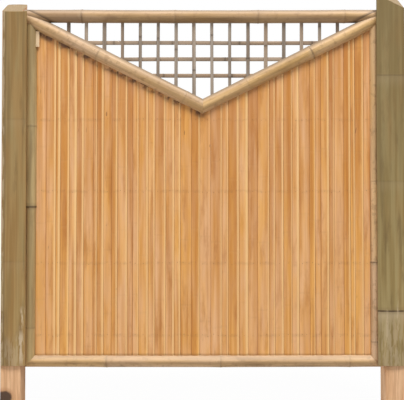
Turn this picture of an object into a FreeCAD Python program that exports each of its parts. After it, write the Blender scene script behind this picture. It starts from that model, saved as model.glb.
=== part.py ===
import FreeCAD, Part
import math
import os

# Bamboo fence panel between two bamboo-clad timber posts, in millimetres.
# X runs along the fence, Y into its depth with the front at -Y, Z up from the feet of the posts.

# Panel frame of round bamboo poles
PANEL_WIDTH = 1800.0
PANEL_HEIGHT = 1815.0
GROUND_GAP = 200.0
STILE_DIA = 52.0
BOTTOM_RAIL_DIA = 60.0
TOP_RAIL_DIA = 66.0
BRACE_DIA = 70.0
POLE_WALL = 8.0
BRACE_SLOPE = 0.5
RAIL_END_GAP = 31.0

# Bamboo joints, as shares of the length of each pole or cover
NODE_RISE = 2.5
NODE_HALF = 7.0
STILE_LEFT_NODES = (0.46,)
STILE_RIGHT_NODES = (0.30, 0.54)
BOTTOM_RAIL_NODES = (0.23, 0.55, 0.91)
TOP_RAIL_NODES = (0.15, 0.42, 0.66, 0.91)
BRACE_LEFT_NODES = (0.15, 0.58)
BRACE_RIGHT_NODES = (0.28, 0.59)
COVER_LEFT_NODES = (0.33, 0.65)
COVER_RIGHT_NODES = (0.22, 0.51, 0.75)

# Posts of sawn timber, each faced with planks split from a thick bamboo culm. The front ones lap over the panel.
POST_GAP = 10.0
POST_SIDE = 102.0
POST_CHAMFER = 3.0
COVER_CROWN = 12.0
COVER_EDGE = 6.0
COVER_FOOT = 17.0
COVER_LEFT_FOOT_WIDTH = 123.0
COVER_LEFT_TOP_WIDTH = 120.0
COVER_LEFT_LAP = 24.0
COVER_RIGHT_FOOT_WIDTH = 138.0
COVER_RIGHT_TOP_WIDTH = 138.0
COVER_RIGHT_LAP = 37.0
COVER_BACK_WIDTH = 98.0
COVER_BACK_INSET = 2.0

# Sawn tops of the posts: height of the cut at the post's middle against the panel's top, and its slopes
CUT_LEFT_RISE = 11.0
CUT_LEFT_SLOPE = (0.0, 0.59)
CUT_RIGHT_RISE = 57.0
CUT_RIGHT_SLOPE = (-0.50, 0.65)

# Split bamboo slats and the cross battens they are nailed to
SLAT_COUNT = 42
SLAT_CROWN = 8.0
SLAT_EDGE = 5.5
SLAT_GAP = 1.0
SLAT_SEAT = 12.0
EDGE_CLEAR = 1.0
BATTEN_COUNT = 4
BATTEN_HEIGHT = 30.0
BATTEN_DEPTH = 12.0
BATTEN_FIRST = 160.0
BATTEN_TIP_GAP = 15.0

# Open lattice above the braces
LATTICE_BARS = 16
LATTICE_RAILS = 3
LATTICE_WIDTH = 20.0
LATTICE_THICK = 6.0
LATTICE_END_GAP = 92.0
LATTICE_FIRST = 102.0
LATTICE_RAIL_PITCH = 84.0
LATTICE_SEAT = 12.0

# Clearances in the slots and windows of the poles
SLOT_CLEAR = 0.3
SEAT_CLEAR = 2.0

# Places that follow from the sizes above
FAR = 4000.0
PANEL_TOP = GROUND_GAP + PANEL_HEIGHT
HALF_WIDTH = PANEL_WIDTH / 2
POST_INNER = HALF_WIDTH + POST_GAP
POST_OUTER = POST_INNER + POST_SIDE
POST_MIDDLE = POST_INNER + POST_SIDE / 2
BRACE_RADIUS = BRACE_DIA / 2
BRACE_ANGLE = math.degrees(math.atan(BRACE_SLOPE))
BRACE_COS = math.cos(math.atan(BRACE_SLOPE))
TIP_Z = PANEL_TOP - BRACE_RADIUS / BRACE_COS - BRACE_SLOPE * POST_INNER
STILE_X = HALF_WIDTH - STILE_DIA / 2
STILE_INNER = HALF_WIDTH - STILE_DIA
BOTTOM_RAIL_TOP = GROUND_GAP + BOTTOM_RAIL_DIA
TOP_RAIL_LOW = PANEL_TOP - TOP_RAIL_DIA
UP = FreeCAD.Vector(0, 0, 1)


def vector(x, y, z):
    return FreeCAD.Vector(x, y, z)


def block(x_low, x_high, y_low, y_high, z_low, z_high):
    return Part.makeBox(x_high - x_low, y_high - y_low, z_high - z_low, vector(x_low, y_low, z_low))


def prism(points, y_low, y_high):
    corners = [vector(x, y_low, z) for x, z in points]
    face = Part.Face(Part.makePolygon(corners + corners[:1]))
    return face.extrude(vector(0, y_high - y_low, 0))


def mirrored(shape):
    return shape.mirror(vector(0, 0, 0), vector(1, 0, 0))


def brace_line(x, offset):
    # height at x of the line that runs along the braces, at this distance above their axes
    return TIP_Z + BRACE_SLOPE * abs(x) + offset / BRACE_COS


def brace_reach(z, offset):
    # distance from the middle at which that line is at height z
    return (z - TIP_Z - offset / BRACE_COS) / BRACE_SLOPE


def above_braces(offset):
    ends = [(-FAR, brace_line(FAR, offset)), (0, brace_line(0, offset)), (FAR, brace_line(FAR, offset))]
    return prism(ends + [(FAR, 2 * FAR), (-FAR, 2 * FAR)], -FAR, FAR)


def below_braces(offset):
    ends = [(-FAR, brace_line(FAR, offset)), (0, brace_line(0, offset)), (FAR, brace_line(FAR, offset))]
    return prism(ends + [(FAR, -FAR), (-FAR, -FAR)], -FAR, FAR)


def pole(length, diameter, nodes):
    # a whole pole along +Z with a ridge at each joint: its outer form without the bore, and the bore
    radius = diameter / 2
    outline = [(0, 0), (radius, 0)]
    for share in nodes:
        middle = share * length
        outline += [(radius, middle - NODE_HALF), (radius + NODE_RISE, middle), (radius, middle + NODE_HALF)]
    outline += [(radius, length), (0, length)]
    corners = [vector(r, 0, s) for r, s in outline]
    face = Part.Face(Part.makePolygon(corners + corners[:1]))
    form = face.revolve(vector(0, 0, 0), UP, 360)
    bore = Part.makeCylinder(radius - POLE_WALL, length + 2, vector(0, 0, -1))
    return form, bore


def split_outline(x_low, x_high, back, edge, crown, z):
    # level outline of split bamboo: flat at the back, crowned at the front
    middle = (x_low + x_high) / 2
    corner = [vector(x_low, back, z), vector(x_high, back, z)]
    rim = [vector(x_high, back - edge, z), vector(x_low, back - edge, z)]
    crowned = Part.Arc(rim[0], vector(middle, back - crown, z), rim[1]).toShape()
    sides = [Part.makeLine(corner[0], corner[1]), Part.makeLine(corner[1], rim[0])]
    return Part.Wire(sides + [crowned, Part.makeLine(rim[1], corner[0])])


def laid(shape, start, degrees):
    # turned in the plane of the panel from upright towards +X, then moved to its start
    turned = shape.copy()
    turned.rotate(vector(0, 0, 0), vector(0, 1, 0), degrees)
    turned.translate(start)
    return turned


def saw(point, slopes):
    # everything above a sloping saw cut through the point
    size = FAR
    blade = Part.makeBox(size, size, size, vector(-size / 2, -size / 2, 0))
    normal = vector(-slopes[0], -slopes[1], 1)
    blade.Placement = FreeCAD.Placement(point, FreeCAD.Rotation(UP, normal))
    return blade


def save(node, shape):
    shape.exportStep("parts/" + node + ".step")


os.makedirs("parts", exist_ok=True)
for old in os.listdir("parts"):
    os.remove("parts/" + old)

# Posts and their covers. The saw cut at the top goes through the timber and both covers.
COVER_TOP = PANEL_TOP + POST_SIDE * 2


def cover(foot_width, top_width, lap, nodes):
    # split plank on the right-hand post's front, its back on the timber, narrower towards its top,
    # and lapping over the panel, or set in from the post's edge where the lap is below zero
    inner = POST_INNER - lap
    outer = inner + foot_width
    back = -POST_SIDE / 2
    foot = GROUND_GAP + COVER_FOOT
    outline = split_outline(inner, outer, back, COVER_EDGE, COVER_CROWN, foot)
    plank = Part.Face(outline).extrude(vector(0, 0, COVER_TOP - foot))
    for share in nodes:
        middle = share * COVER_TOP
        low = split_outline(inner, outer, back, COVER_EDGE, COVER_CROWN, middle - NODE_HALF)
        ridge = split_outline(inner, outer, back, COVER_EDGE + NODE_RISE, COVER_CROWN + NODE_RISE, middle)
        high = split_outline(inner, outer, back, COVER_EDGE, COVER_CROWN, middle + NODE_HALF)
        plank = plank.fuse(Part.makeLoft([low, ridge, high], True, True))
    narrow = (foot_width - top_width) / 2
    sides = [(inner, foot), (outer, foot), (outer - narrow, COVER_TOP), (inner + narrow, COVER_TOP)]
    return plank.removeSplitter().common(prism(sides, -FAR, FAR))


def flipped(shape):
    return shape.mirror(vector(0, 0, 0), vector(0, 1, 0))


timber = block(POST_INNER, POST_OUTER, -POST_SIDE / 2, POST_SIDE / 2, 0, COVER_TOP)
upright = [e for e in timber.Edges if abs(e.tangentAt(e.FirstParameter).z) > 0.9]
timber = timber.makeChamfer(POST_CHAMFER, upright)

cut_left = saw(vector(-POST_MIDDLE, 0, PANEL_TOP + CUT_LEFT_RISE), CUT_LEFT_SLOPE)
front = mirrored(cover(COVER_LEFT_FOOT_WIDTH, COVER_LEFT_TOP_WIDTH, COVER_LEFT_LAP, COVER_LEFT_NODES))
back = mirrored(flipped(cover(COVER_BACK_WIDTH, COVER_BACK_WIDTH, -COVER_BACK_INSET, COVER_LEFT_NODES)))
save("post_left", mirrored(timber).cut(cut_left))
save("cover_left_front", front.cut(cut_left))
save("cover_left_back", back.cut(cut_left))

cut_right = saw(vector(POST_MIDDLE, 0, PANEL_TOP + CUT_RIGHT_RISE), CUT_RIGHT_SLOPE)
front = cover(COVER_RIGHT_FOOT_WIDTH, COVER_RIGHT_TOP_WIDTH, COVER_RIGHT_LAP, COVER_RIGHT_NODES)
back = flipped(cover(COVER_BACK_WIDTH, COVER_BACK_WIDTH, -COVER_BACK_INSET, COVER_RIGHT_NODES))
save("post_right", timber.cut(cut_right))
save("cover_right_front", front.cut(cut_right))
save("cover_right_back", back.cut(cut_right))

# Cross battens from post to post
batten_low = GROUND_GAP + BATTEN_FIRST
batten_high = brace_line(0, -BRACE_RADIUS) - BATTEN_TIP_GAP - BATTEN_HEIGHT / 2
batten_step = (batten_high - batten_low) / (BATTEN_COUNT - 1)
batten_rows = [batten_low + batten_step * i for i in range(BATTEN_COUNT)]
for i, z in enumerate(batten_rows):
    batten = block(-POST_INNER, POST_INNER, 0, BATTEN_DEPTH, z - BATTEN_HEIGHT / 2, z + BATTEN_HEIGHT / 2)
    save("cross_batten_%d" % (i + 1), batten)

# Lattice strips, each with the pocket that takes its ends
lattice_reach = brace_reach(TOP_RAIL_LOW, BRACE_RADIUS) - LATTICE_END_GAP
lattice_step = 2 * lattice_reach / (LATTICE_BARS - 1)
bar_floor = BRACE_RADIUS - LATTICE_SEAT


def bar(x, half_width, floor, top, y_low, y_high):
    left = x - half_width
    right = x + half_width
    points = [(left, brace_line(left, floor)), (right, brace_line(right, floor)), (right, top), (left, top)]
    return prism(points, y_low, y_high)


def lattice_rail(z_low, z_high, floor, y_low, y_high):
    low = brace_reach(z_low, floor)
    high = brace_reach(z_high, floor)
    return prism([(-low, z_low), (low, z_low), (high, z_high), (-high, z_high)], y_low, y_high)


bars = []
rails = []
pockets = []
half = LATTICE_WIDTH / 2
bar_top = TOP_RAIL_LOW + LATTICE_SEAT
for i in range(LATTICE_BARS):
    x = -lattice_reach + lattice_step * i
    bars.append(bar(x, half, bar_floor, bar_top, -LATTICE_THICK, 0))
    pocket_floor = bar_floor - SEAT_CLEAR
    pockets.append(bar(x, half + SLOT_CLEAR, pocket_floor, TOP_RAIL_LOW, -LATTICE_THICK - SLOT_CLEAR, 0))
for i in range(LATTICE_RAILS):
    z = TOP_RAIL_LOW - LATTICE_FIRST - LATTICE_RAIL_PITCH * i
    rails.append(lattice_rail(z - half, z + half, bar_floor, 0, LATTICE_THICK))
    low = z - half - SLOT_CLEAR
    high = z + half + SLOT_CLEAR
    pockets.append(lattice_rail(low, high, bar_floor - SEAT_CLEAR, 0, LATTICE_THICK + SLOT_CLEAR))
save("lattice_bars", Part.makeCompound(bars))
save("lattice_rails", Part.makeCompound(rails))
all_pockets = pockets[0].multiFuse(pockets[1:])
groove_reach = lattice_reach + half + SLOT_CLEAR
groove_top = bar_top + SEAT_CLEAR
groove = block(-groove_reach, groove_reach, -LATTICE_THICK - SLOT_CLEAR, 0, TOP_RAIL_LOW - TOP_RAIL_DIA, groove_top)

# Slats, crowned at the front and flat at the back, their widths varied by two waves
def slat_weight(i):
    return 1.0 + 0.30 * math.sin(2.4 * i) + 0.14 * math.sin(5.1 * i + 1.0) + 0.18 * math.sin(0.22 * i - 3.4)


def slat(x_low, x_high, z_low):
    outline = split_outline(x_low, x_high, 0, SLAT_EDGE, SLAT_CROWN, z_low)
    return Part.Face(outline).extrude(vector(0, 0, PANEL_TOP - z_low))


slat_floor = BOTTOM_RAIL_TOP - SLAT_SEAT
slat_ceiling = above_braces(SLAT_SEAT - BRACE_RADIUS)
field_edge = STILE_INNER - NODE_RISE - EDGE_CLEAR
weights = [slat_weight(i) for i in range(SLAT_COUNT)]
width_unit = (2 * field_edge - SLAT_GAP * (SLAT_COUNT - 1)) / sum(weights)
x = -field_edge
for i, weight in enumerate(weights):
    width = weight * width_unit
    save("slat_%02d" % (i + 1), slat(x, x + width, slat_floor).cut(slat_ceiling))
    x += width + SLAT_GAP

# Poles of the frame. Slots and pockets take the ends of the slats and the lattice.
slot_front = -SLAT_CROWN - SLOT_CLEAR
slot_deep = SLAT_SEAT - BRACE_RADIUS + SEAT_CLEAR
slot_open = -BRACE_RADIUS - NODE_RISE - 1
reach = field_edge + SLOT_CLEAR
slot_high = [(-reach, brace_line(reach, slot_deep)), (0, brace_line(0, slot_deep)), (reach, brace_line(reach, slot_deep))]
slot_low = [(reach, brace_line(reach, slot_open)), (0, brace_line(0, slot_open)), (-reach, brace_line(reach, slot_open))]
brace_slot = prism(slot_high + slot_low, slot_front, SLOT_CLEAR)

brace_over = BRACE_DIA
brace_length = POST_INNER / BRACE_COS + 2 * brace_over
right_side = block(0, POST_INNER, -FAR, FAR, -FAR, FAR)


def brace(nodes):
    # outer form and bore of the right-hand brace, mitred at the tip and square to the post
    form, bore = pole(brace_length, BRACE_DIA, nodes)
    start = vector(-brace_over * BRACE_COS, 0, TIP_Z - brace_over * BRACE_COS * BRACE_SLOPE)
    form = laid(form, start, 90 - BRACE_ANGLE).common(right_side)
    return form, laid(bore, start, 90 - BRACE_ANGLE)


left_form, left_bore = [mirrored(s) for s in brace(BRACE_LEFT_NODES)]
right_form, right_bore = brace(BRACE_RIGHT_NODES)
save("brace_left", left_form.cut(left_bore).cut(brace_slot).cut(all_pockets))
save("brace_right", right_form.cut(right_bore).cut(brace_slot).cut(all_pockets))

rail_reach = POST_INNER - RAIL_END_GAP
form, bore = pole(2 * rail_reach, TOP_RAIL_DIA, TOP_RAIL_NODES)
start = vector(-rail_reach, 0, PANEL_TOP - TOP_RAIL_DIA / 2)
top_rail = laid(form, start, 90).cut(laid(bore, start, 90))
top_rail = top_rail.cut(below_braces(0)).cut(left_form).cut(right_form)
save("top_rail", top_rail.cut(groove))

# The stiles are mitred to the bottom rail, coped under the braces and hung on the cross battens
turn_x = STILE_DIA * 3
turn_z = BOTTOM_RAIL_DIA * 3
low_corner = (HALF_WIDTH + turn_x, GROUND_GAP - turn_z)
high_corner = (STILE_INNER - turn_x, BOTTOM_RAIL_TOP + turn_z)
rail_zone = prism([low_corner, high_corner, (-FAR, high_corner[1]), (-FAR, low_corner[1])], -FAR, FAR)
bottom_start = vector(-HALF_WIDTH, 0, GROUND_GAP + BOTTOM_RAIL_DIA / 2)
form, bore = pole(PANEL_WIDTH, BOTTOM_RAIL_DIA, BOTTOM_RAIL_NODES)
bottom_rail = laid(form, bottom_start, 90).cut(laid(bore, bottom_start, 90))
bottom_rail = bottom_rail.common(rail_zone).common(mirrored(rail_zone))
slot_floor = slat_floor - SEAT_CLEAR
rail_slot = block(-reach, reach, slot_front, SLOT_CLEAR, slot_floor, BOTTOM_RAIL_TOP + BOTTOM_RAIL_DIA)
save("bottom_rail", bottom_rail.cut(rail_slot))


def stile(nodes, brace_form):
    # the right-hand stile, for a brace on the right
    length = brace_line(STILE_X, 0) - GROUND_GAP
    form, bore = pole(length, STILE_DIA, nodes)
    start = vector(STILE_X, 0, GROUND_GAP)
    shape = laid(form, start, 0).cut(laid(bore, start, 0))
    shape = shape.cut(rail_zone).cut(above_braces(0)).cut(brace_form)
    for z in batten_rows:
        low = z - BATTEN_HEIGHT / 2 - SLOT_CLEAR
        high = z + BATTEN_HEIGHT / 2
        shape = shape.cut(block(0, FAR, -SLOT_CLEAR, BATTEN_DEPTH + SLOT_CLEAR, low, high))
    return shape


save("stile_left", mirrored(stile(STILE_LEFT_NODES, mirrored(left_form))))
save("stile_right", stile(STILE_RIGHT_NODES, right_form))
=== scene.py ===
# %% [markdown]
# A bamboo fence panel between two clad timber posts.
# The frame that the script loads holds every piece as a plain solid: posts, planks, poles, slats, battens
# and lattice. Bamboo is never that even. It swells at its joints, bends a little, splits with pale edges and
# changes colour from culm to culm. So each bamboo piece is built again here as a finer mesh in the same
# place, and it stands for its solid. The sawn timber is right as it is, and only gets a finish.

# %% Load the frame
import math
import random
import bmesh
import bpy
import numpy as np
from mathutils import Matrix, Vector


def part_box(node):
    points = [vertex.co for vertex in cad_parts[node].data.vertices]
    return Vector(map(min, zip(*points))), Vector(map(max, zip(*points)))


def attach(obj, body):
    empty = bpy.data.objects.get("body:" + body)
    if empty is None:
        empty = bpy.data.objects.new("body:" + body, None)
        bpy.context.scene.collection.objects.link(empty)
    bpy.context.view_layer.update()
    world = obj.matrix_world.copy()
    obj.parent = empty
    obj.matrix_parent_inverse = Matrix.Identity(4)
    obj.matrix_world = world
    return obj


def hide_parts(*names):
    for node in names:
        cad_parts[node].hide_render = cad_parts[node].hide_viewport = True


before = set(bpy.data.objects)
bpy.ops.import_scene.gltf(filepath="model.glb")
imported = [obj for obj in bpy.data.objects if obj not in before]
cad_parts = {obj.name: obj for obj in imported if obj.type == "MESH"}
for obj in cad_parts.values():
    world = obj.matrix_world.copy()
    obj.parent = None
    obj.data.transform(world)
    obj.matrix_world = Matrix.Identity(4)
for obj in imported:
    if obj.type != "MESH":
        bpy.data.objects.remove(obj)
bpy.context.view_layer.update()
node_box = {name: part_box(name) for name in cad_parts}
print("solids in the frame:", len(node_box))

# %% [markdown]
# All sizes come from the boxes of the solids, so the finer pieces follow the frame. Only what a box can't
# say is written here: the radius of a pole without its joints, the slope of the two poles of the V, and how
# deep the strips sit in them.

# %% Sizes of the poles
STILE_RADIUS = 0.026
BOTTOM_RADIUS = 0.030
TOP_RADIUS = 0.033
BRACE_RADIUS = 0.035
BRACE_SLOPE = 0.5
BRACE_COS = math.cos(math.atan(BRACE_SLOPE))
SEAT = 0.012
post_inner = node_box["post_right"][0].x
tip_z = node_box["brace_right"][1].z - BRACE_RADIUS / BRACE_COS - BRACE_SLOPE * post_inner


def middle(name):
    """The middle of a solid's box."""
    return (node_box[name][0] + node_box[name][1]) / 2


def brace_line(x, offset):
    """Height at x of the line along the V's poles, this far above their axes."""
    return tip_z + BRACE_SLOPE * abs(x) + offset / BRACE_COS


batten_rows = [middle(name).z for name in sorted(node_box) if name.startswith("cross_batten")]
print("tip of the V at", round(tip_z, 3), "battens at", [round(z, 3) for z in batten_rows])

# %% [markdown]
# Colours are written as they look on screen, 0 to 255, because that is how one reads them off a real piece.
# Blender's sockets want linear light, so a small helper turns one into the other.

# %% Colours
def seen(red, green, blue):
    """A screen colour as the linear colour that a shader socket takes."""
    parts = [c / 255 for c in (red, green, blue)]
    linear = [c / 12.92 if c <= 0.04045 else ((c + 0.055) / 1.055) ** 2.4 for c in parts]
    return (*linear, 1.0)


print("mid grey in linear light:", [round(c, 3) for c in seen(128, 128, 128)])

# %% [markdown]
# Node trees are long to write out. These helpers place one node each: a value, a mask between two limits, a
# mix of two colours, a noise that is stretched along the grain, a relief, and where the surface lies and
# looks. They work in the tree in hand, which is always called tree, be it a group or a material.

# %% Helpers for node trees
def plug(sockets, values):
    """Joins sockets, by name, to other sockets, or sets them to plain values."""
    for key, value in values.items():
        if isinstance(value, bpy.types.NodeSocket):
            tree.links.new(value, sockets[key])
        else:
            sockets[key].default_value = value


def add_node(kind, settings=(), sockets=()):
    """A shader node. Its settings come first, because they decide which sockets it has."""
    node = tree.nodes.new("ShaderNode" + kind)
    for key, value in dict(settings).items():
        setattr(node, key, value)
    plug(node.inputs, dict(sockets))
    return node


def maths(operation, a, b=0.0, c=0.0, clamp=False):
    settings = {"operation": operation, "use_clamp": clamp}
    return add_node("Math", settings, {0: a, 1: b, 2: c}).outputs[0]


def scaled(value, factor, more, clamp=False):
    """value times factor plus more."""
    return maths("MULTIPLY_ADD", value, factor, more, clamp)


def times(first, *others):
    """The product of values, some of them sockets."""
    for other in others:
        first = maths("MULTIPLY", first, other)
    return first


def mask(value, low, high):
    """0 at low, 1 at high, smooth between them. high may be the smaller one."""
    rising = high >= low
    sockets = {"Value": value, "From Min": min(low, high), "From Max": max(low, high)}
    sockets |= {"To Min": float(not rising), "To Max": float(rising)}
    return add_node("MapRange", {"interpolation_type": "SMOOTHSTEP"}, sockets).outputs["Result"]


def mix(factor, a, b, blend="MIX"):
    settings = {"data_type": "RGBA", "blend_type": blend}
    return add_node("Mix", settings, {"Factor": factor, "A": a, "B": b}).outputs["Result"]


def noise(vector, scale, detail=3.0, roughness=0.55):
    """Noise at its own scale along each of three directions, in bumps for each metre."""
    stretch = add_node("VectorMath", {"operation": "MULTIPLY"}, {0: vector, 1: scale})
    sockets = {"Vector": stretch.outputs[0], "Scale": 1.0, "Detail": detail, "Roughness": roughness}
    return add_node("TexNoise", sockets=sockets).outputs["Fac"]


def relief(height, strength, depth):
    """The normal of a surface with this height on it."""
    sockets = {"Height": height, "Strength": strength, "Distance": depth}
    return add_node("Bump", sockets=sockets).outputs["Normal"]


def parts_of(vector):
    """X, Y and Z of a vector."""
    return add_node("SeparateXYZ", sockets={0: vector}).outputs


def place_on():
    """The place on the piece, in the frame's own coordinates."""
    return add_node("TexCoord").outputs["Object"]


def facing_of():
    """Which way the surface looks, as X, Y and Z."""
    return parts_of(add_node("NewGeometry").outputs["Normal"])


def new_group(name, inputs, outputs):
    """Takes in hand an empty group with these sockets, listed by kind. Returns it and both ends."""
    global tree
    tree = bpy.data.node_groups.new(name, "ShaderNodeTree")
    for way, kinds in (("INPUT", inputs), ("OUTPUT", outputs)):
        for kind, labels in kinds.items():
            for label in labels:
                tree.interface.new_socket(label, in_out=way, socket_type="NodeSocket" + kind)
    return tree, tree.nodes.new("NodeGroupInput").outputs, tree.nodes.new("NodeGroupOutput").inputs


def new_material(name):
    """Takes in hand the tree of a new material."""
    global tree
    material = bpy.data.materials.new(name)
    material.use_nodes = True
    tree = material.node_tree
    return material


print("node helpers ready")

# %% [markdown]
# Bamboo skin is one effect with many faces: the slats are honey-coloured, the poles tan, the post planks
# olive. All show fine dark fibres along the culm, broad streaks, stains, a dark scar with a pale bloom below
# each joint, and pale flesh where the culm was split or worn. Their hue drifts too, from a cool to a warm
# tint. Creases also get a painted shade. The group reads these from values stored on the meshes: "grain" is
# the place along the straight culm, "joint" the distance to the nearest joint, "side" below or above it and
# "scar" how plain it is, "crease" the distance to a split edge, a cut or the underside of a level pole, where
# shade is painted, "paring" to the edge that was pared pale, "worn" where the skin is rubbed off, and "skin"
# is 1 outside and 0 on the inner face.

# %% The bamboo skin group
MESH_VALUES = ("Tone", "Warmth", "Joint", "Side", "Scar", "Crease", "Paring", "Worn", "Skin")
SKIN_COLOURS = ("Light", "Middle", "Dark", "Flesh", "Cool", "Warm")
SKIN_AMOUNTS = ("Fibres", "Streaks", "Stains", "Drift", "Rings", "Bloom", "Reach", "Gloss")
CREASE_REACH = 0.0045
skin_inputs = {"Vector": ["Grain"], "Float": MESH_VALUES + SKIN_AMOUNTS, "Color": SKIN_COLOURS}
surface_outputs = {"Color": ["Color"], "Float": ["Roughness", "Height"]}
bamboo_skin, put, out = new_group("bamboo_skin", skin_inputs, surface_outputs)


def layered(colour, *layers):
    """Lays colours of the group in hand over each other, each as strongly as the product of its amounts."""
    for label, *amounts in layers:
        colour = mix(times(*amounts), colour, put[label])
    return colour


grain = put["Grain"]
fine = noise(grain, (700, 700, 6), 3.0, 0.6)
band = noise(grain, (48, 48, 1.6), 2.0)
streak = noise(grain, (36, 36, 1.0), 2.5)
cast = noise(grain, (24, 24, 3.6), 2.0)
blot = noise(grain, (22, 22, 4.0), 5.0, 0.62)
fleck = noise(grain, (420, 420, 55), 2.0)
chipped = noise(grain, (85, 85, 13), 3.0, 0.6)
# the two main tones, then the tone of the single culm
lift = times(maths("MAXIMUM", put["Tone"], 0.0), 0.75)
sink = times(maths("MINIMUM", put["Tone"], 0.0), -0.60)
colour = layered(put["Middle"], ("Light", mask(band, 0.34, 0.66)), ("Light", lift), ("Dark", sink),
                 ("Dark", mask(streak, 0.50, 0.70), put["Streaks"]))
# the hue drifts across and along the culm
sway = times(maths("SUBTRACT", cast, 0.5), put["Drift"])
hue = maths("ADD", put["Warmth"], sway, clamp=True)
colour = mix(1.0, colour, mix(hue, put["Cool"], put["Warm"]), "MULTIPLY")
# stains, fibres and flecks
stain = times(mask(blot, 0.50, 0.74), put["Stains"])
colour = layered(colour, ("Dark", stain), ("Dark", mask(fine, 0.48, 0.30), put["Fibres"]),
                 ("Light", mask(fine, 0.56, 0.74), put["Fibres"]), ("Dark", mask(fleck, 0.70, 0.80), 0.35))
# each joint: pale bloom below it, a soft dark band and a broken scar
below = mask(put["Side"], 0.05, -0.05)
near = maths("DIVIDE", put["Joint"], put["Reach"])
broken = scaled(mask(blot, 0.40, 0.52), 0.45, 0.55)
scar = times(mask(put["Joint"], 0.0075, 0.0012), put["Rings"], put["Scar"], broken)
scar_and_shade_dark = mix(1.0, put["Dark"], (0.45, 0.40, 0.36, 1.0), "MULTIPLY")
colour = layered(colour, ("Flesh", mask(near, 1.0, 0.1), below, put["Bloom"], put["Scar"]),
                 ("Dark", mask(put["Joint"], 0.024, 0.004), put["Rings"], put["Scar"], 0.45))
colour = mix(scar, colour, scar_and_shade_dark)
# pale flesh at a pared edge and where the skin is rubbed off, painted shade in creases and under level poles
ragged = times(maths("SUBTRACT", fleck, 0.5), 0.0020)
pared = mask(maths("ADD", put["Paring"], ragged), 0.0130, 0.0050)
colour = layered(colour, ("Flesh", pared, 0.80), ("Flesh", put["Worn"], mask(chipped, 0.42, 0.54)))
painted_shade = times(mask(put["Crease"], CREASE_REACH, 0.0002), 0.42)
colour = mix(painted_shade, colour, mix(0.5, put["Dark"], scar_and_shade_dark))
# the inner face, with the same painted shade in its creases
flesh = layered(put["Flesh"], ("Middle", mask(fine, 0.35, 0.65)), ("Middle", mask(streak, 0.42, 0.62), 0.6),
                ("Dark", sink, 1.5), ("Flesh", lift, 1.5))
flesh = layered(mix(painted_shade, flesh, scar_and_shade_dark), ("Dark", scar, 0.7), ("Dark", stain, 0.6))
dull = maths("SUBTRACT", 0.80, times(put["Skin"], put["Gloss"]))
plug(out, {"Color": mix(put["Skin"], flesh, colour), "Roughness": scaled(blot, 0.16, dull, True),
           "Height": scaled(fine, 0.5, times(band, 0.5))})
print("bamboo skin:", len(tree.nodes), "nodes")

# %% [markdown]
# Sawn timber shows growth rings as long, nearly straight lines, because the board is cut along the trunk.
# A noise stretched along the post gives the wandering, and a sine of it gives the repeated lines. Saw marks
# cross the grain. Faces that look up are sawn ends: there the grain stands on end and shows as pores.

# %% The sawn timber group
TIMBER_COLOURS = ("Light", "Middle", "Dark")
timber_inputs = {"Vector": ["Grain", "Place"], "Float": ["Up", "Lines", "Ends"], "Color": TIMBER_COLOURS}
sawn_timber, put, out = new_group("sawn_timber", timber_inputs, surface_outputs)
grain = put["Grain"]
rings = maths("SINE", times(noise(grain, (9, 9, 0.55), 3.0, 0.5), 95.0))
fine = noise(grain, (620, 620, 9), 4.0, 0.6)
patch = noise(grain, (14, 14, 3.0), 4.0, 0.6)
teeth = noise(grain, (8, 8, 330), 2.0, 0.5)
pores = noise(put["Place"], (240, 240, 240), 3.0, 0.6)
colour = layered(put["Middle"], ("Light", mask(patch, 0.32, 0.70)),
                 ("Dark", mask(rings, 0.1, 1.0), put["Lines"]), ("Dark", mask(fine, 0.46, 0.30), 0.35))
end_grain = mix(mask(pores, 0.35, 0.65), seen(148, 125, 94), seen(170, 147, 114))
sawn_end = times(mask(put["Up"], 0.55, 0.75), put["Ends"])
plug(out, {"Color": mix(sawn_end, colour, end_grain), "Roughness": scaled(patch, 0.2, 0.62),
           "Height": scaled(fine, 0.6, teeth)})
print("sawn timber:", len(tree.nodes), "nodes")

# %% [markdown]
# Shade is painted along the two poles of the V: a shadow on the slats below them and a shade in the corner
# on the top pole above them. Both need to know how far a place lies from these poles, so a small group works
# it out.

# %% The group for distance from the V
below_the_v, put, out = new_group("below_the_v", {"Vector": ["Place"]}, {"Float": ["Drop"]})
parts = parts_of(put["Place"])
beside = times(maths("ABSOLUTE", parts["X"]), BRACE_SLOPE * BRACE_COS)
level = scaled(parts["Z"], -BRACE_COS, tip_z * BRACE_COS)
plug(out, {"Drop": maths("ADD", beside, level)})


def drop_below_v(place):
    """How far a place lies below the axes of the V's poles, square to them."""
    return add_node("Group", {"node_tree": below_the_v}, {"Place": place}).outputs["Drop"]


print("distance from the V:", len(tree.nodes), "nodes")

# %% [markdown]
# Each finish is a material with its own Principled shader. The group gives what changes over the surface, and
# a Bump node turns its height into the normal. Tone and warmth are stored on the mesh, one pair for each culm
# or for each length between two joints, so that one material serves all the slats and no two of them match.

# %% Bamboo finishes
BAMBOO_RELIEF = 0.35
RELIEF_DEPTH = 0.001


def surface_of(material):
    """The inputs of a material's own shader."""
    return material.node_tree.nodes["Principled BSDF"].inputs


def finish_of(name, group, values, bump, specular):
    """A material around one use of a group. Values are colours and numbers by socket name."""
    material = new_material(name)
    use = add_node("Group", {"node_tree": group}, values)
    made = use.outputs
    plug(surface_of(material), {"Base Color": made["Color"], "Roughness": made["Roughness"],
                                "Normal": relief(made["Height"], bump, RELIEF_DEPTH),
                                "Specular IOR Level": specular})
    return material, use


def lay_marks(surface, *marks):
    """Lays marks over a surface's colour, each given as how strong it is and its own colour."""
    colour = surface["Base Color"].links[0].from_socket
    for amount, mark in marks:
        colour = mix(amount, colour, mark)
    plug(surface, {"Base Color": colour})


def stored(name, output):
    """A value that the mesh carries."""
    return add_node("Attribute", {"attribute_name": name}).outputs[output]


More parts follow.
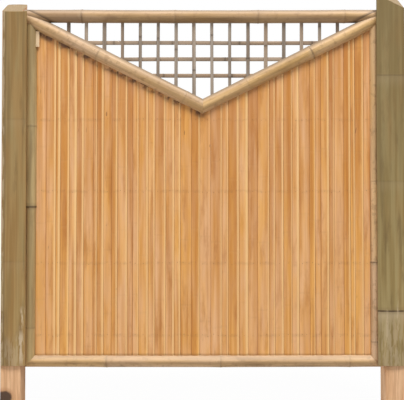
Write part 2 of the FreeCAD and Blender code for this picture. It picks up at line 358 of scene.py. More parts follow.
def bamboo_finish(name, colours, tints, amounts, specular):
    """Colours are light, middle, dark and flesh; tints are cool and warm; amounts go as in SKIN_AMOUNTS."""
    values = [seen(*colour) for colour in colours] + [(*tint, 1.0) for tint in tints]
    sockets = dict(zip(SKIN_COLOURS + SKIN_AMOUNTS, [*values, *amounts]))
    material, use = finish_of(name, bamboo_skin, sockets, BAMBOO_RELIEF, specular)
    plug(use.inputs, {"Grain": stored("grain", "Vector")})
    plug(use.inputs, {label: stored(label.lower(), "Fac") for label in MESH_VALUES})
    return material


slat_finish = bamboo_finish(
    "slat_bamboo", ((235, 180, 117), (214, 153, 86), (176, 108, 44), (250, 206, 142)),
    ((1.02, 1.05, 1.30), (1.01, 0.92, 0.60)), (0.18, 0.52, 0.55, 2.4, 0.05, 0.05, 0.020, 0.34), 0.45)
frame_finish = bamboo_finish(
    "frame_bamboo", ((226, 191, 141), (200, 164, 112), (124, 92, 55), (232, 204, 166)),
    ((1.01, 0.99, 1.18), (1.03, 0.95, 0.74)), (0.22, 0.38, 0.50, 1.4, 0.60, 0.35, 0.030, 0.34), 0.45)
olive_finish = bamboo_finish(
    "olive_bamboo", ((194, 168, 119), (171, 144, 98), (108, 85, 52), (218, 192, 150)),
    ((0.97, 1.02, 1.04), (1.02, 0.97, 0.86)), (0.22, 0.30, 0.40, 0.9, 0.75, 0.20, 0.030, 0.38), 0.5)
plank_finish = bamboo_finish(
    "post_bamboo", ((170, 143, 94), (150, 121, 71), (106, 84, 48), (208, 186, 154)),
    ((0.94, 1.03, 1.06), (1.04, 0.94, 0.82)), (0.20, 0.42, 0.60, 2.0, 0.85, 0.42, 0.080, 0.32), 0.4)
lattice_finish = bamboo_finish(
    "lattice_bamboo", ((176, 160, 142), (146, 128, 110), (100, 84, 68), (176, 156, 130)),
    ((0.97, 1.02, 1.09), (1.09, 0.94, 0.79)), (0.30, 0.40, 0.45, 1.0, 0.50, 0.05, 0.020, 0.20), 0.3)
print("bamboo finishes for slats, frame, olive pole, planks and lattice")

# %% [markdown]
# The poles of the frame lie in the sun and the rain. Their upper half is paler: partly bleached by the sun
# and partly a painted sheen on the side that the light falls on. On top the skin has gone dull, and it is
# painted grey there, partly for weathered skin and partly as painted shade that tones down the bright top
# edges: less on the bottom pole and darker on the sloping poles of the V. Small brown spots lie all over, and
# a painted shade fills the corner where the top pole sits on the V. The marks go by how far a face looks up
# and how high it is.

# %% Weathered tops of the poles, with painted sheen and shade
tree, surface = frame_finish.node_tree, surface_of(frame_finish)
facing = facing_of()
place = place_on()
spotted = times(mask(noise(place, (34, 34, 34), 4.0, 0.6), 0.52, 0.66), 0.34)
# painted sheen: the upper half, where the light falls, is paler, and partly sun-bleached
bleach_and_sheen = times(mask(facing["Z"], 0.05, 0.60), 0.35)
bare = scaled(mask(parts_of(place)["Z"], 0.35, 1.20), 0.55, 0.35)
sloping = mask(maths("ABSOLUTE", facing["X"]), 0.10, 0.35)
upward = scaled(sloping, 0.06, facing["Z"])
# painted shade on the top edges, partly dull grey weathered skin, darker on the V's slopes
weathered_and_shaded = times(mask(upward, 0.30, 0.92), bare)
grey_and_shade = mix(sloping, seen(154, 136, 116), seen(140, 121, 100))
# painted shade in the corner where the top pole sits on the V
above = scaled(drop_below_v(place), -1.0, -BRACE_RADIUS)
corner_shade = times(mask(above, 0.020, 0.004), mask(above, 0.001, 0.003), 0.75)
lay_marks(surface, (spotted, seen(146, 108, 70)), (bleach_and_sheen, seen(228, 198, 168)), (weathered_and_shaded, grey_and_shade),
          (corner_shade, seen(84, 62, 40)))
polish = surface["Roughness"].links[0].from_socket
plug(surface, {"Roughness": scaled(weathered_and_shaded, 0.55, polish, True)})
print("weathered tops on", frame_finish.name)

# %% [markdown]
# Some marks belong to the slats alone. Rust and damp have browned them in patches along each row of nails.
# A painted shade lies along their feet, in the crevice above the bottom pole, and a broken painted shadow
# along their tops under the poles of the V, deeper on the left half. A few bruises show as dark, long spots.

# %% Marks on the slats
tree, surface = slat_finish.node_tree, surface_of(slat_finish)
place = place_on()
parts = parts_of(place)
row_gap = batten_rows[1] - batten_rows[0]
turn = scaled(parts["Z"], 1 / row_gap, 0.5 - batten_rows[0] / row_gap)
away = maths("ABSOLUTE", maths("SUBTRACT", maths("FRACT", turn), 0.5))
patchy = mask(noise(place, (26, 26, 26), 3.0), 0.42, 0.62)
browned = times(mask(times(away, row_gap), 0.014, 0.002), patchy, 0.16)
# painted shade along the slats' feet, in the crevice above the bottom pole
foot_shade = times(mask(parts["Z"], 0.273, 0.262), 0.40)
# a broken painted shadow under the poles of the V, deeper on the left half
broken = scaled(patchy, 0.95, 0.22)
shaded_half = scaled(mask(parts["X"], 0.03, -0.03), 0.70, 0.22)
v_shadow = times(mask(drop_below_v(place), 0.070, 0.036), broken, shaded_half)
bruised = times(mask(noise(place, (62, 62, 14), 1.0), 0.79, 0.84), 0.6)
lay_marks(surface, (browned, seen(150, 96, 50)), (foot_shade, seen(96, 66, 38)),
          (v_shadow, seen(100, 62, 30)), (bruised, seen(122, 74, 34)))
print("slat marks at each", round(row_gap, 3), "m")

# %% [markdown]
# The posts are pale, warm timber with one dark knot low on the left leg. The battens at the back are plain
# laths of a browner wood. Both use the frame's own coordinates as their grain, which runs along Z in a post
# and along X in a batten, so the batten's coordinates are turned. A knot is a dark oval.

# %% Timber finishes
TIMBER_RELIEF = 0.5
TIMBER_SPECULAR = 0.25
KNOT_FROM_CORNER = (0.024, 0.0, 0.058)
KNOT_RADIUS = 0.034


def timber_finish(name, colours, lines, ends, turned=False, knots=()):
    """Sawn timber in a light, a middle and a dark colour. Knots are given by centre and radius."""
    values = {label: seen(*colour) for label, colour in zip(TIMBER_COLOURS, colours)}
    values |= {"Lines": lines, "Ends": ends}
    material, use = finish_of(name, sawn_timber, values, TIMBER_RELIEF, TIMBER_SPECULAR)
    place = place_on()
    grain = place
    if turned:
        sockets = {"Vector": place, "Rotation": (0, math.radians(90), 0)}
        grain = add_node("Mapping", sockets=sockets).outputs["Vector"]
    plug(use.inputs, {"Grain": grain, "Place": place, "Up": facing_of()["Z"]})
    for centre, radius in knots:
        away = add_node("VectorMath", {"operation": "DISTANCE"}, {0: place, 1: centre})
        wobble = times(noise(place, (60, 60, 40)), radius * 0.5)
        reach = maths("ADD", away.outputs["Value"], wobble)
        halo = times(mask(reach, radius * 2.0, radius * 1.3), 0.5)
        core = mask(reach, radius * 1.45, radius * 1.05)
        lay_marks(surface_of(material), (halo, values["Dark"]), (core, seen(92, 70, 56)))
    return material


leg_knot = (node_box["post_left"][0] + Vector(KNOT_FROM_CORNER), KNOT_RADIUS)
post_finish = timber_finish("post_timber", ((242, 198, 155), (224, 175, 130), (178, 121, 78)), 0.30, 1.0,
                            knots=[leg_knot])
batten_finish = timber_finish("batten", ((200, 160, 116), (176, 134, 92), (120, 84, 54)), 0.5, 0.0,
                              turned=True)
for name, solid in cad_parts.items():
    if name.startswith(("post_", "cross_batten")):
        solid.data.materials.clear()
        solid.data.materials.append(post_finish if name.startswith("post_") else batten_finish)
print("timber finishes:", post_finish.name, batten_finish.name)

# %% [markdown]
# Every bamboo piece is a stack of rings along a straight culm that is then laid in place. The helpers below
# make the mesh, store the values that the skin group reads, and round the shading except at sharp edges.
# NO_EDGE is the stored distance where no split or pared edge is near.

# %% Helpers for meshes with stored values
NO_EDGE = 0.02
JOINT_SIDE = 0.006
JOINT_CLEAR = 0.026
JOINT_RINGS_MM = (-22, -14, -9, -6.5, -4.8, -3.6, -2.4, -1.2, 0, 1.2, 2.6, 4.2, 6.5, 9, 14, 22)
FULL_TURN = 6.3


def add_object(name, data):
    made = bpy.data.objects.new(name, data)
    bpy.context.scene.collection.objects.link(made)
    return made


def new_piece(name, points, faces, values, sharp):
    mesh = bpy.data.meshes.new(name)
    mesh.from_pydata([tuple(p) for p in points], [], faces)
    for key, value in values.items():
        value = np.asarray(value, np.float32)
        kind, field = ("FLOAT_VECTOR", "vector") if value.ndim == 2 else ("FLOAT", "value")
        mesh.attributes.new(key, kind, "POINT").data.foreach_set(field, value.ravel())
    mesh.validate()
    mesh.polygons.foreach_set("use_smooth", [True] * len(mesh.polygons))
    mesh.set_sharp_from_angle(angle=math.radians(sharp))
    return add_object(name, mesh)


def dress(piece, finish, slot, *nodes):
    """The piece takes a finish, moves with the part and stands for these solids."""
    piece.data.materials.append(finish)
    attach(piece, "root")
    if nodes:
        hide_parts(*nodes)


def joint_values(along, joints):
    """Places along a culm: distance to the nearest joint, -1 below to 1 above it, which one, all gaps."""
    gap = along[:, None] - np.asarray(joints)[None, :]
    which = np.abs(gap).argmin(axis=1)
    nearest = gap[np.arange(len(along)), which]
    return np.abs(nearest), np.clip(nearest / JOINT_SIDE, -1, 1), which, gap


def split_joints(joints):
    """Joints may be places, or places with how plain their scar is. Gives the places and the scars."""
    pairs = [(j, 1.0) if isinstance(j, float) else j for j in joints]
    return [j for j, plain in pairs], [plain for j, plain in pairs]


def ring_places(low, high, joints, step):
    """Places of the rings along a culm: even steps, and close together at each joint."""
    length = high - low
    places = list(np.linspace(0, length, int(length / step) + 2))
    for joint in joints:
        at = joint - low
        places = [s for s in places if abs(s - at) > JOINT_CLEAR] + [at + d / 1000 for d in JOINT_RINGS_MM]
    return np.array(sorted(s for s in places if 0 <= s <= length)) + low


def ring_faces(rings, count, step, first=0):
    """Faces that join each ring of points to the next one, which starts a step further on."""
    starts = range(first, first + (rings - 1) * step, step)
    pairs = [(i + j, i + (j + 1) % count) for i in starts for j in range(count)]
    return [(a, b, b + step, a + step) for a, b in pairs]


def swelling(gap, rise, plain):
    """How far a culm stands out near its joints: a ridge, a rise below it and a narrow scar between."""
    ridge = np.exp(-(gap / 0.0062) ** 2)
    shoulder = 0.35 * np.exp(-((gap + 0.013) / 0.011) ** 2)
    scar = -0.45 * np.exp(-((gap + 0.0048) / 0.0013) ** 2)
    return rise * ((ridge + shoulder + scar) * np.asarray(plain)[None, :]).sum(axis=1)


print("mesh helpers ready")

# %% [markdown]
# A slat is a strip split from a culm: the front keeps the round of the culm, the back is planed flat, and the
# two sides show pale flesh. Its outline is drawn once across, then repeated up the slat with slight changes:
# the width wanders, the joints stand out, and the slat's top follows the slope of its pole.

# %% Slats
FRONT_SHARES = (-1, -0.985, -0.955, -0.90, -0.80, -0.60, -0.32, 0, 0.32, 0.60, 0.80, 0.90, 0.955, 0.985, 1)
SLAT_OVERLAP = 0.0011
OUTER_SHIFT = 0.0020
SLAT_EDGE = 0.68
SLAT_RISE = 0.0003
SLAT_CONTRAST = 0.22
SLAT_SPREAD = 0.40
OUTER_TONE = 0.45
# painted shade and light: each slat is darker towards the V and lighter towards its foot
SHADE_WITH_HEIGHT = 0.80
slat_ceiling = SEAT - BRACE_RADIUS


def slat_outline(half, crown, edge):
    """Points across a slat: place across, depth, distance to the nearest edge and to the pared edge, skin."""
    rows = []
    for share in FRONT_SHARES:
        fall = 0.0024 * max(0.0, (abs(share) - 0.78) / 0.22) ** 2.4
        depth = -(edge + (crown - edge) * (1 - share * share)) + fall
        # the distance to the nearest edge gives a painted shade in the gaps between slats
        rows.append((share * half, depth, half * (1 - abs(share)), half * (1 - share), 1.0))
    side = half - 0.0001
    back = [(side, -0.0004, 0.0), (side * 0.4, 0.0, 0.004), (-side * 0.4, 0.0, 0.004), (-side, -0.0004, 0.0)]
    rows += [(*row, NO_EDGE, 0.0) for row in back]
    return np.array(rows)


def strip(name, outline, places, joints, lay, rise, seed, tone, warmth, wander=0.0004, low_end=None,
          high_end=None, width=lambda s: 1.0, worn=lambda across, s: 0.0, shade=lambda s: 0.0):
    """A long strip with this outline. low_end and high_end give slanted ends for a place across."""
    joints, plain = split_joints(joints)
    chance = random.Random(seed)
    turn = [chance.uniform(0, FULL_TURN) for _ in range(4)]
    distance, side, which, gap = joint_values(places, joints)
    out_by = swelling(gap, rise, plain)
    count, last = len(outline), len(places) - 1
    ends = {0: low_end, last: high_end}
    points, grain, table = [], [], []
    for i, s in enumerate(places):
        drift = wander * (math.sin(3.1 * s + turn[0]) + 0.6 * math.sin(8.7 * s + turn[1]))
        swell = (1 + 12 * wander * math.sin(5.3 * s + turn[2]) + out_by[i] * 4) * width(s)
        deep = 1 + 0.05 * math.sin(2.3 * s + turn[3])
        for across, depth, edge, pared, skin in outline:
            front = min(1.0, max(0.0, -depth / 0.004))
            x = across * swell + drift
            y = depth * (1 + (deep - 1) * front) - out_by[i] * front
            along = ends[i](across) if ends.get(i) else s
            points.append(lay(x, y, along))
            grain.append((x + 0.37 * seed, y + 0.11 * seed, along + 0.53 * seed))
            table.append((distance[i], side[i], plain[which[i]], edge, pared, worn(across, s), skin,
                          tone + shade(s)))
    faces = ring_faces(len(places), count, count)
    faces.append(tuple(reversed(range(count))))
    faces.append(tuple(range(last * count, (last + 1) * count)))
    labels = ("joint", "side", "scar", "crease", "paring", "worn", "skin", "tone")
    values = {"grain": grain, "warmth": np.full(len(points), warmth)}
    values |= zip(labels, np.array(table).T)
    return new_piece(name, points, faces, values, 60)


def joints_along(low, high, spacing, chance):
    """Joints of one culm from a chance start, each a little nearer or farther than the last."""
    joints = []
    s = low + chance.uniform(0.05, spacing)
    while s < high - 0.03:
        joints.append(s)
        s += spacing * chance.uniform(0.85, 1.15)
    return joints or [high + 1.0]


slat_names = sorted(name for name in node_box if name.startswith("slat_"))
for index, name in enumerate(slat_names):
    chance = random.Random(100 + index)
    low, high = node_box[name]
    centre = (low.x + high.x) / 2
    half = (high.x - low.x) / 2 + SLAT_OVERLAP
    outermost = name in (slat_names[0], slat_names[-1])
    if outermost:
        centre += OUTER_SHIFT * (1 if centre > 0 else -1)
        half += OUTER_SHIFT
    crown = -low.y * chance.uniform(0.86, 1.02)
    top = min(brace_line(x, slat_ceiling) for x in (low.x, high.x, centre))
    joints = joints_along(low.z, top, chance.uniform(0.30, 0.44), chance)
    tone = SLAT_CONTRAST * (1 if index % 2 else -1) + chance.uniform(-SLAT_SPREAD, SLAT_SPREAD)
    tone = OUTER_TONE if outermost else tone
    outline = slat_outline(half, crown, crown * SLAT_EDGE)
    outline[:, 3] = outline[:, 3] * chance.uniform(0.7, 1.5) + chance.choice((0.0, 0.0, 0.0, NO_EDGE))
    piece = strip(name + "_split", outline, ring_places(low.z, top, joints, 0.06), joints,
                  lambda x, y, z, c=centre: (c + x, y, z), SLAT_RISE, 7 + index, tone,
                  chance.uniform(0.15, 0.90), shade=lambda z: SHADE_WITH_HEIGHT * (1.00 - z),
                  high_end=lambda across, c=centre: brace_line(c + across, slat_ceiling))
    dress(piece, slat_finish, "slat_bamboo", name)
print("slats:", len(slat_names))

# %% [markdown]
# The lattice is made of the same split bamboo, thinner, planed and weathered grey-brown. The upright strips
# lie in front and end behind the top pole and in the V. The level strips lie behind them. One solid of the
# frame holds all the upright strips and another all the level ones, so they are told apart by their gaps.

# %% Lattice
STRIP_SPACE = 0.03
LATTICE_RISE = 0.0007
LATTICE_WANDER = 0.0007
bar_floor = BRACE_RADIUS - SEAT


def separate_boxes(name, direction):
    """The boxes of the solids in one node, which lie apart along X (0) or Z (2)."""
    places = np.array([v.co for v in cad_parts[name].data.vertices])
    places = places[places[:, direction].argsort()]
    ends = np.flatnonzero(np.diff(places[:, direction]) > STRIP_SPACE) + 1
    return [(Vector(group.min(axis=0)), Vector(group.max(axis=0))) for group in np.split(places, ends)]


def lattice_outline(half, thick):
    """Across a lattice strip: nearly flat, with rounded corners."""
    front = [(-1, -0.55), (-0.93, -0.86), (-0.75, -0.98), (0, -1.0), (0.75, -0.98), (0.93, -0.86), (1, -0.55)]
    back = [(1, -0.1), (0.9, 0), (-0.9, 0), (-1, -0.1)]
    rows = [(a * half, d * thick, NO_EDGE, NO_EDGE, 1.0) for a, d in front]
    rows += [(a * half, d * thick, NO_EDGE, NO_EDGE, 0.3) for a, d in back]
    return np.array(rows)


bar_boxes = separate_boxes("lattice_bars", 0)
for index, (low, high) in enumerate(bar_boxes):
    chance = random.Random(300 + index)
    centre = (low.x + high.x) / 2
    half = (high.x - low.x) / 2 * chance.uniform(0.78, 1.02)
    start = max(brace_line(low.x, bar_floor), brace_line(high.x, bar_floor))
    joints = joints_along(start, high.z, 0.32, chance)
    piece = strip("lattice_bar_%02d" % (index + 1), lattice_outline(half, -low.y),
                  ring_places(start, high.z, joints, 0.05), joints,
                  lambda x, y, z, c=centre: (c + x, y, z), LATTICE_RISE, 61 + index,
                  chance.uniform(-0.75, 1.05), chance.uniform(0.0, 0.5), LATTICE_WANDER,
                  low_end=lambda across, c=centre: brace_line(c + across, bar_floor))
    dress(piece, lattice_finish, "lattice_bamboo", "lattice_bars")
rail_boxes = separate_boxes("lattice_rails", 2)[::-1]
for index, (low, high) in enumerate(rail_boxes):
    chance = random.Random(340 + index)
    centre = (low.z + high.z) / 2
    half = (high.z - low.z) / 2
    reach = (high.x - low.x) / 2
    joints = joints_along(low.x, high.x, 0.34, chance)
    piece = strip("lattice_rail_%d" % (index + 1), lattice_outline(half, high.y),
                  ring_places(low.x, high.x, joints, 0.05), joints,
                  lambda x, y, s, c=centre, t=high.y: (s, y + t, c + x), LATTICE_RISE, 81 + index,
                  chance.uniform(-0.30, 0.60), chance.uniform(0.6, 1.0), LATTICE_WANDER,
                  low_end=lambda across, h=half, r=reach: -r - (across - h) / BRACE_SLOPE,
                  high_end=lambda across, h=half, r=reach: r + (across - h) / BRACE_SLOPE)
    dress(piece, lattice_finish, "lattice_bamboo", "lattice_rails")
print("lattice strips:", len(bar_boxes), "upright,", len(rail_boxes), "level")

# %% [markdown]
# A pole is a whole culm: a tube of rings with a wall, open at its ends. Between two joints a culm keeps one
# girth and one colour, and both may change at the joint. The ends are then cut on a plane: a mitre where the
# side poles meet the bottom one and at the tip of the V, and a slanted cut where the top pole sits on the V.
# The cut faces get pale flesh because their skin value is 0.

# %% Helpers for poles
WALL = 0.008
CULM_SIDES = 44
CULM_RISE = 0.0022
GIRTH_CHANGE = 0.012
CULM_SHARP = 45
ON_PLANE = 1e-5


def culm(name, length, radius, joints, seed, start, axis, across, tints, girths=None, bend=0.0012,
         painted_shade=None):
    """A whole culm with its bore along an axis. tints and girths go with the lengths between the joints.
    Its last argument paints shade along a level culm: how far up the middle of the shade is, -1 below to 1 on
    top, and its spread."""
    chance = random.Random(seed)
    turn = [chance.uniform(0, FULL_TURN) for _ in range(4)]
    joints, plain = split_joints(joints)
    places = ring_places(0, length, joints, 0.03)
    distance, side, which, gap = joint_values(places, joints)
    out_by = swelling(gap, CULM_RISE, np.maximum(plain, 0.5))
    girths = girths or [1.0] * (len(joints) + 1)
    turns_at = [j + d for j in joints for d in (-GIRTH_CHANGE, GIRTH_CHANGE)]
    girth_at = np.interp(places, turns_at, [g for pair in zip(girths, girths[1:]) for g in pair])
    angles = [2 * math.pi * i / CULM_SIDES for i in range(CULM_SIDES)]
    axis, across = Vector(axis).normalized(), Vector(across).normalized()
    third = axis.cross(across)
    points, grain, table = [], [], []
    for i, s in enumerate(places):
        tone, warmth = tints[sum(j < s for j in joints)]
        waist = -0.0006 * (1 - math.exp(-(distance[i] / 0.06) ** 2))
        size = radius * girth_at[i] + waist + out_by[i]
        shift_a = bend * math.sin(2.4 * s + turn[0])
        shift_b = bend * math.sin(2.9 * s + turn[1])
        for skin in (1.0, 0.0):
            for a in angles:
                r = size * (1 + 0.006 * math.cos(2 * a + turn[2])) if skin else radius - WALL
                c, d = r * math.cos(a), r * math.sin(a)
                points.append(start + axis * s + across * (c + shift_a) + third * (d + shift_b))
                grain.append((c + 0.31 * seed, d + 0.17 * seed, s + 0.43 * seed))
                # shade is painted where the crease value is low, around the given height on the culm
                under = CREASE_REACH * abs(math.cos(a) - painted_shade[0]) / painted_shade[1] if painted_shade else NO_EDGE
                table.append((distance[i], side[i], plain[which[i]], skin, tone, warmth, under))
    n = CULM_SIDES
    ring = 2 * n
    faces = []
    for a, b, d, c in ring_faces(len(places), n, ring):
        faces += [(a, b, d, c), (a + n, c + n, d + n, b + n)]
    last = (len(places) - 1) * ring
    for j in range(n):
        k = (j + 1) % n
        faces += [(j, j + n, k + n, k), (last + j, last + k, last + k + n, last + j + n)]
    labels = ("joint", "side", "scar", "skin", "tone", "warmth", "crease")
    values = dict(zip(labels, np.array(table).T))
    values |= {"grain": grain, "paring": np.full(len(points), NO_EDGE), "worn": np.zeros(len(points))}
    return new_piece(name, points, faces, values, CULM_SHARP)


def cut(piece, point, normal, cut_light=1.0):
    """Takes off what lies on the far side of a plane and closes the cut with pale flesh. A last value below 1
    paints a shade line along the cut, darkest at 0."""
    normal = Vector(normal).normalized()

    def on_plane(place):
        return abs((place - Vector(point)).dot(normal)) < ON_PLANE

    work = bmesh.new()
    work.from_mesh(piece.data)
    everything = work.verts[:] + work.edges[:] + work.faces[:]
    made = bmesh.ops.bisect_plane(work, geom=everything, plane_co=point, plane_no=normal, clear_outer=True)
    rim = [e for e in made["geom_cut"] if isinstance(e, bmesh.types.BMEdge)]
    filled = bmesh.ops.triangle_fill(work, edges=rim, use_beauty=True, normal=normal)
    caps = [f for f in filled["geom"] if isinstance(f, bmesh.types.BMFace)]
    # the cut gets its own points, so that its skin value doesn't run into the culm's
    bmesh.ops.split(work, geom=caps)
    skin = work.verts.layers.float["skin"]
    crease = work.verts.layers.float["crease"]
    for v in work.verts:
        if on_plane(v.co):
            v[crease] = min(v[crease], NO_EDGE * cut_light)
    for f in work.faces:
        if abs(f.normal.dot(normal)) > 0.999 and on_plane(f.calc_center_median()):
            for v in f.verts:
                v[skin] = 0.0
    work.to_mesh(piece.data)
    work.free()
    piece.data.set_sharp_from_angle(angle=math.radians(CULM_SHARP))


print("pole helpers ready")

# %% [markdown]
# The frame has six poles. Tints are a tone and a warmth for each length between two joints, from the start of
# the pole to its end. The left side pole is the only olive one, and it is thicker above its middle joint.

# %% Poles of the panel's frame
OVER = 0.07
TOP_GAP = 0.004
V_BEND = 0.0008
bottom_z = middle("bottom_rail").z
panel_low = bottom_z - BOTTOM_RADIUS
half_width = node_box["bottom_rail"][1].x
stile_x = half_width - STILE_RADIUS
tip = Vector((0, 0, tip_z))


def mitre(side):
    """A point on the mitre of a lower corner and its upward normal."""
    normal = Vector((side * 2 * BOTTOM_RADIUS, 0, 2 * STILE_RADIUS))
    return Vector((side * half_width, 0, panel_low)), normal


bottom_joints = ((0.23, 0.5), (0.55, 0.4), (0.91, 0.3))
bottom_tints = ((0.55, 0.70), (0.50, 0.25), (0.70, 0.40), (0.70, 0.50))
joints = [(share * 2 * half_width, plain) for share, plain in bottom_joints]
# the bottom pole gets painted shade along its lower half
piece = culm("bottom_pole", 2 * half_width, BOTTOM_RADIUS, joints, 11, Vector((-half_width, 0, bottom_z)),
             (1, 0, 0), (0, 0, 1), bottom_tints, painted_shade=(-0.10, 0.45))
# a shade line is painted along each mitre, darkest on the right
for side, cut_light in ((1, 0.0), (-1, 0.15)):
    cut(piece, *mitre(side), cut_light)
dress(piece, frame_finish, "frame_bamboo", "bottom_rail")

left_tints = ((0.45, 0.60), (-0.16, 0.50), (0.15, 0.40), (0.00, 0.40))
# the right side pole is a pale culm, and its tones are raised further as painted light against the shadow of
# its plank
right_tints = ((1.33, 0.35), (0.95, 0.30), (1.33, 0.65), (0.65, 0.60))
left_girths = [1.0, 1.0, 1.09, 1.09]
# the last value of each side pole is how light the painted shade line along its mitre is, 0 darkest
STILES = ((-1, "left", ((0.20, 0.3), 0.81, (1.22, 0.3)), left_tints, left_girths, olive_finish, 0.15),
          (1, "right", ((0.13, 0.4), 0.53, (0.94, 0.3)), right_tints, None, frame_finish, 0.0))
for side, name, joints, tints, girths, finish, cut_light in STILES:
    piece = culm("side_pole_" + name, brace_line(stile_x, 0) - panel_low, STILE_RADIUS, joints, 21 + side,
                 Vector((side * stile_x, 0, panel_low)), (0, 0, 1), (1, 0, 0), tints, girths)
    corner, normal = mitre(side)
    cut(piece, corner, -normal, cut_light)
    dress(piece, finish, "frame_bamboo", "stile_" + name)

BRACES = ((-1, "left", ((0.172, 0.3), (0.666, 0.5)), ((0.05, 0.50), (0.20, 0.45), (0.15, 0.30))),
          (1, "right", ((0.326, 0.2), (0.687, 0.8)), ((0.02, 0.60), (-0.05, 0.75), (-0.02, 0.65))))
for side, name, joints, tints in BRACES:
    axis = Vector((side * BRACE_COS, 0, BRACE_SLOPE * BRACE_COS))
    piece = culm("v_pole_" + name, post_inner / BRACE_COS + 2 * OVER, BRACE_RADIUS, joints, 31 + side,
                 tip - axis * OVER, axis, (0, 1, 0), tints, bend=V_BEND)
    # a shade line is painted along the mitre at the tip of the V
    cut(piece, tip, (-side, 0, 0), 0.1)
    cut(piece, Vector((side * post_inner, 0, tip_z)), (side, 0, 0))
    dress(piece, frame_finish, "frame_bamboo", "brace_" + name)

top_joints = ((0.15, 0.8), (0.42, 0.3), (0.66, 0.5), (0.91, 0.3))
top_tints = ((-0.75, 0.10), (-0.30, 0.40), (-0.42, 0.45), (-0.30, 0.35), (-0.30, 0.35))
top_reach = post_inner - TOP_GAP
low, high = node_box["top_rail"]
joints = [(low.x + share * (high.x - low.x) + top_reach, plain) for share, plain in top_joints]
# the top pole gets painted shade along its underside
piece = culm("top_pole", 2 * top_reach, TOP_RADIUS, joints, 41, Vector((-top_reach, 0, middle("top_rail").z)),
             (1, 0, 0), (0, 0, 1), top_tints, painted_shade=(-1.0, 1.4))
# shade lines are painted along the cuts where the top pole sits on the V
for side in (-1, 1):
    cut(piece, tip, Vector((side * BRACE_SLOPE, 0, -1)), 0.0)
dress(piece, frame_finish, "frame_bamboo", "top_rail")
print("poles: bottom, two at the sides, two of the V and the top")

# %% [markdown]
# A plank split from a very thick culm faces the front and the back of each post. It is crowned like a slat
# but much broader, planed flat where it lies on the timber, and was sawn off together with the post. The saw
# cut is a plane that is read from the timber's own top, so that timber and bamboo end on one line. Only one
# joint, low on the right, is plain to see. Below it, and low on the left, the skin is rubbed pale.

# %% Helpers for planks
PLANK_EDGE = 0.006
PLANK_CROWN = 0.012
SPLIT_HALF = 0.12


def saw_plane(solid):
    """A point and the upward normal of the sloping face at the top of a post."""
    top = max(solid.data.polygons, key=lambda p: p.area * (p.normal.z > 0.5))
    return top.center.copy(), top.normal.copy()


def plank_outline(half, split):
    """Points across a plank: a shallow crown and rounded edges. A long split may run at this share across."""
    rows = []
    shares = list(np.cos(np.linspace(math.pi, 0, 25)))
    if split:
        shares += [split + d for d in (-0.12, -0.08, -0.04, 0.0, 0.04, 0.08, 0.12)]
    for share in sorted(shares):
        apart = abs(share - split) / SPLIT_HALF if split else 9.0
        fall = 0.003 * max(0.0, (abs(share) - 0.90) / 0.10) ** 2.2 + 0.0012 * max(0.0, 1 - apart)
        depth = -(PLANK_EDGE + (PLANK_CROWN - PLANK_EDGE) * (1 - share * share)) + fall
        # near the split the crease value gives a painted shade in its groove
        rows.append((share * half, depth, min(NO_EDGE, 0.0032 * apart), NO_EDGE, 1.0))
    rows += [(across, 0.0, NO_EDGE, NO_EDGE, 0.0) for across in (half, 0.0, -half)]
    return np.array(rows)


def rubbed_off(across, z, patches, bare_edge):
    """How far the skin is rubbed off: most in the middle of each patch, and half beyond the bare edge."""
    marks = [0.5 if across < bare_edge else 0.0]
    for strength, place, half, low, high in patches:
        beside = max(0.0, 1 - ((across - place) / half) ** 2)
        along = max(0.0, 1 - ((2 * z - low - high) / (high - low)) ** 4)
        marks.append(strength * (beside * along))
    return max(marks)


print("plank helpers ready")

# %% [markdown]
# The four planks differ in their joints, colour and wear. Tones are given at fixed heights from the foot to
# the top: partly the plank's own colour, partly painted light that makes each plank lighter towards its foot.
# A worn patch has a strength, a place across with its half width, and a lower and an upper end. The left
# front plank has a long split, and the narrow strip beyond it is bare.

# %% Planks on the posts
TONE_HEIGHTS = (0.30, 0.48, 0.90, 1.50, 2.00)
NO_BARE_EDGE = -1.0
SAW_ALLOWANCE = 0.05
PLANK_RISE = 0.0020
left_joints = ((0.735, 0.10), (1.448, 0.10))
left_worn = ((0.9, 0.040, 0.020, 0.215, 0.400), (0.3, 0.0, 0.090, 0.100, 0.370),
             (0.8, 0.046, 0.016, 0.420, 0.500))
right_joints = ((0.490, 1.0), (1.136, 0.15), (1.670, 0.25))
right_worn = ((0.6, -0.027, 0.010, 0.300, 0.500), (0.6, 0.026, 0.007, 0.380, 0.530),
              (0.36, 0.0, 0.100, 0.050, 0.485))
